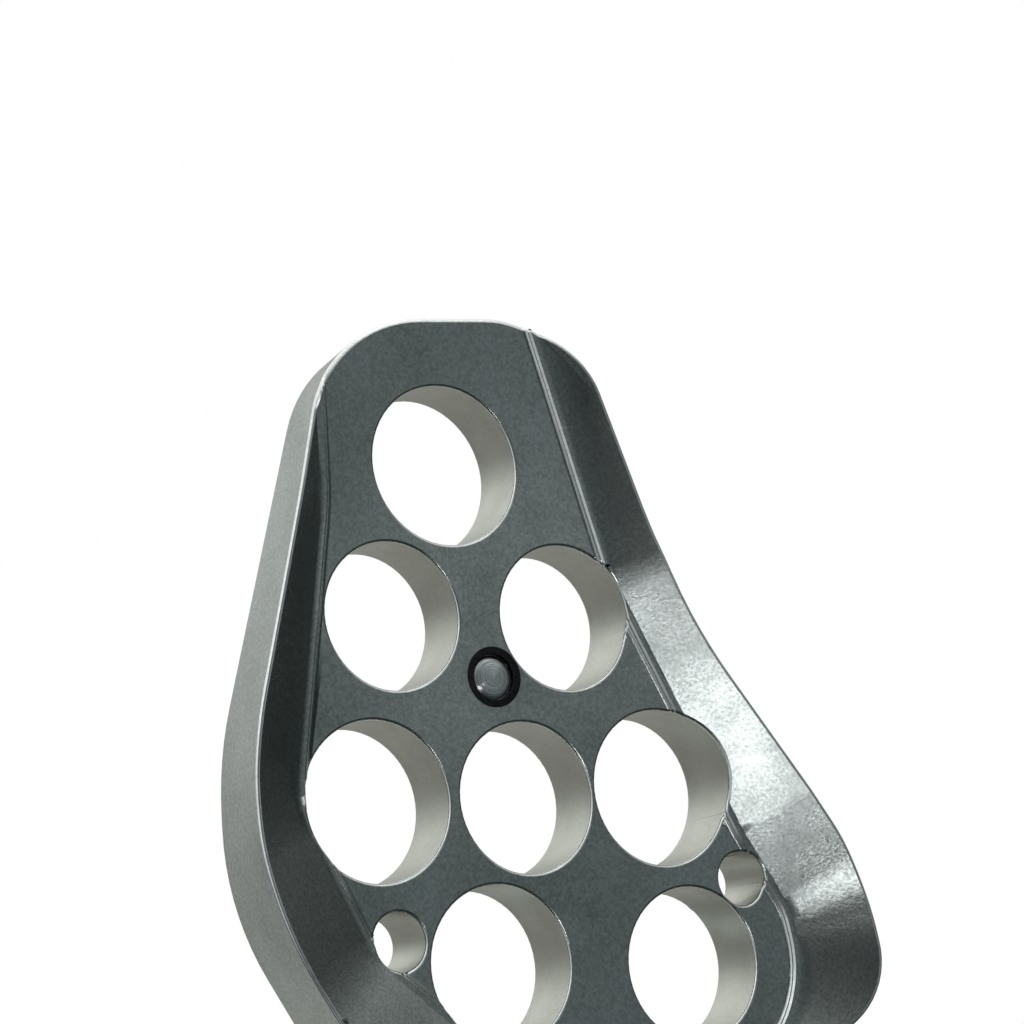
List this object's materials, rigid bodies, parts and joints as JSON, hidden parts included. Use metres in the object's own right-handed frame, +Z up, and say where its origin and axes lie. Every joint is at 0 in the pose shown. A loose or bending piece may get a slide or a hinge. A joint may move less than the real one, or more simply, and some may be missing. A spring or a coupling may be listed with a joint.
{
  "type": "rope pulley",
  "caption": "Swing-cheek rope pulley hung open: pierced dished cheeks with rows of round eyes, a push lock and a grooved sheave on ball bearings.",
  "frame": {"origin": "middle of the front cheek's head eye", "axes": "+Z up the hung pulley, -Y out of the front cheek's face, +X to the right seen from the front"},
  "size_m": [0.0934, 0.0582, 0.2464],
  "materials": {
    "cheek_metal": "bare satin, fine grain",
    "sheave_metal": "turned, satin",
    "fastener_steel": "bright zinc",
    "post_metal": "turned",
    "bearing_steel": "ground and polished",
    "cage_brass": "satin",
    "bush_bronze": "turned",
    "blackened_steel": "chemically blackened, satin",
    "plunger_steel": "turned bright",
    "spring_steel": "drawn wire"
  },
  "bodies": {
    "front_side": {"front_cheek": "cheek_metal", "axle": "fastener_steel", "axle_nut": "fastener_steel", "nut_washer": "fastener_steel", "bearing_spacer": "post_metal", "front_thrust_washer": "bush_bronze", "rear_thrust_washer": "bush_bronze", "front_bearing_inner_ring": "bearing_steel", "rear_bearing_inner_ring": "bearing_steel", "lock_sleeve": "blackened_steel", "lock_plug": "blackened_steel", "lock_spring": "spring_steel"},
    "rear_side": {"rear_cheek": "cheek_metal", "rear_cheek_bush": "bush_bronze", "spacer_post": "post_metal", "post_screw": "fastener_steel"},
    "sheave_wheel": {"sheave": "sheave_metal", "front_bearing_outer_ring": "bearing_steel", "rear_bearing_outer_ring": "bearing_steel", "front_bearing_shield": "bearing_steel", "rear_bearing_shield": "bearing_steel", "front_circlip": "blackened_steel", "rear_circlip": "blackened_steel"},
    "front_ball_set": {"front_bearing_balls": "bearing_steel", "front_bearing_cage": "cage_brass"},
    "rear_ball_set": {"rear_bearing_balls": "bearing_steel", "rear_bearing_cage": "cage_brass"},
    "lock_button": {"lock_plunger": "plunger_steel"}
  },
  "joints": [
    {"name": "cheek_swing", "type": "hinge", "parent": "front_side", "child": "rear_side", "pos_m": [0.002, 0.01475, -0.1025], "axis": [0, 1, 0], "range_deg": [0, 180]},
    {"name": "sheave_spin", "type": "hinge", "parent": "front_side", "child": "sheave_wheel", "pos_m": [0.002, 0.01475, -0.1025], "axis": [0, 1, 0], "continuous": true},
    {"name": "front_ball_set_turn", "type": "hinge", "parent": "front_side", "child": "front_ball_set", "pos_m": [0.002, 0.01475, -0.1025], "axis": [0, 1, 0], "continuous": true},
    {"name": "rear_ball_set_turn", "type": "hinge", "parent": "front_side", "child": "rear_ball_set", "pos_m": [0.002, 0.01475, -0.1025], "axis": [0, 1, 0], "continuous": true},
    {"name": "lock_push", "type": "slide", "parent": "front_side", "child": "lock_button", "axis": [0, 1, 0], "range_m": [0, 0.003], "stiffness_N_per_m": 500, "springref_m": -0.003, "deforming": ["lock_spring"]}
  ],
  "couplings": [
    {"joint": "front_ball_set_turn", "follows": "sheave_spin", "ratio": 0.59722},
    {"joint": "rear_ball_set_turn", "follows": "sheave_spin", "ratio": 0.59722}
  ]
}
